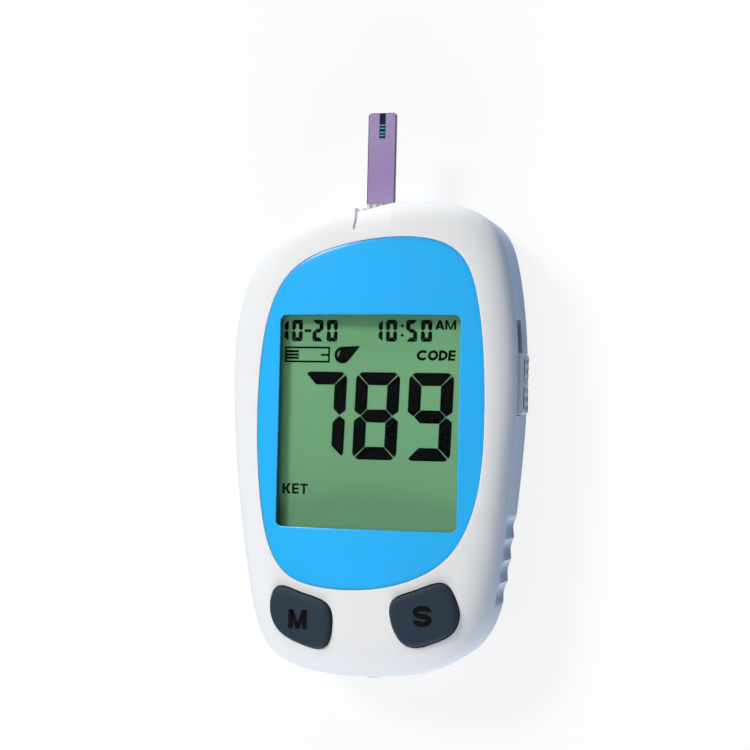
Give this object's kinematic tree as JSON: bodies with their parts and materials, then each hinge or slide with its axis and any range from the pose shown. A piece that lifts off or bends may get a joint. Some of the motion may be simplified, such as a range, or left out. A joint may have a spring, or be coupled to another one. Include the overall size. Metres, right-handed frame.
{
  "type": "blood glucose meter",
  "caption": "Hand-held blood glucose meter with a leaning oval body, a display window, two pillow keys, a test strip in its top port and a sliding strip ejector.",
  "frame": {"origin": "on the flat back that the meter lies on, on the centre line of the display window and the test strip, halfway along the body", "axes": "+X towards the ejector's side, +Y towards the strip port, +Z out of the display"},
  "size_m": [0.0609, 0.1153, 0.0244],
  "materials": {
    "white_plastic": "smooth, low gloss",
    "blue_panel": "smooth gloss",
    "clear_window": "polished",
    "display_glass": "polished",
    "polarizer_film": "satin",
    "holder_plastic": "matte",
    "connector_rubber": "matte",
    "board_laminate": "solder-mask gloss",
    "chip_resin": "matte",
    "crystal_can": "satin",
    "ceramic": "matte",
    "black_plastic": "matte",
    "contact_metal": "plated",
    "key_rubber": "soft matte",
    "dome_rubber": "matte",
    "slider_plastic": "matte",
    "arm_plastic": "matte",
    "spring_steel": "bright",
    "strip_plastic": "satin",
    "strip_film": "gloss",
    "carbon_ink": "matte",
    "channel_film": "gloss",
    "cell_jacket": "satin",
    "plated_steel": "satin"
  },
  "bodies": {
    "housing": {"front_shell": "white_plastic", "rear_shell": "white_plastic", "faceplate": "blue_panel", "window_lens": "clear_window", "lcd_glass": "display_glass", "lcd_polarizer": "polarizer_film", "lcd_holder": "holder_plastic", "zebra_connector": "connector_rubber", "circuit_board": "board_laminate", "microcontroller": "chip_resin", "memory_chip": "chip_resin", "crystal": "crystal_can", "chip_capacitors": "ceramic", "buzzer": "black_plastic", "strip_connector": "black_plastic", "strip_contacts": "contact_metal", "memory_dome": "dome_rubber", "set_dome": "dome_rubber", "ejector_spring": "spring_steel", "battery_left": "cell_jacket", "battery_right": "cell_jacket", "bridge_contact": "plated_steel", "positive_terminal": "plated_steel", "negative_terminal": "plated_steel", "housing_screws": "plated_steel"},
    "memory_key": {"memory_key": "key_rubber"},
    "set_key": {"set_key": "key_rubber"},
    "ejector": {"ejector_slider": "slider_plastic", "ejector_arm": "arm_plastic"},
    "test_strip": {"strip_base": "strip_plastic", "strip_cover": "strip_film", "strip_electrodes": "carbon_ink", "strip_channel": "channel_film"},
    "battery_door": {"battery_door": "white_plastic"}
  },
  "joints": [
    {"name": "memory_key_press", "type": "slide", "parent": "housing", "child": "memory_key", "axis": [0, 0, -1], "range_m": [0, 0.0006], "stiffness_N_per_m": 200, "springref_m": -0.0002, "deforming": ["memory_dome"]},
    {"name": "set_key_press", "type": "slide", "parent": "housing", "child": "set_key", "axis": [0, 0, -1], "range_m": [0, 0.0006], "stiffness_N_per_m": 200, "springref_m": -0.0002, "deforming": ["set_dome"]},
    {"name": "ejector_slide", "type": "slide", "parent": "housing", "child": "ejector", "axis": [0, 1, 0], "range_m": [0, 0.0065], "stiffness_N_per_m": 60, "springref_m": -0.002, "deforming": ["ejector_spring"]},
    {"name": "strip_eject", "type": "slide", "parent": "housing", "child": "test_strip", "axis": [0, 1, 0], "range_m": [0, 0.0065]},
    {"name": "battery_door_hinge", "type": "hinge", "parent": "housing", "child": "battery_door", "pos_m": [0, -0.0407, 0], "axis": [-1, 0, 0], "range_deg": [0, 75]}
  ],
  "couplings": [
    {"joint": "strip_eject", "follows": "ejector_slide", "ratio": 1}
  ]
}
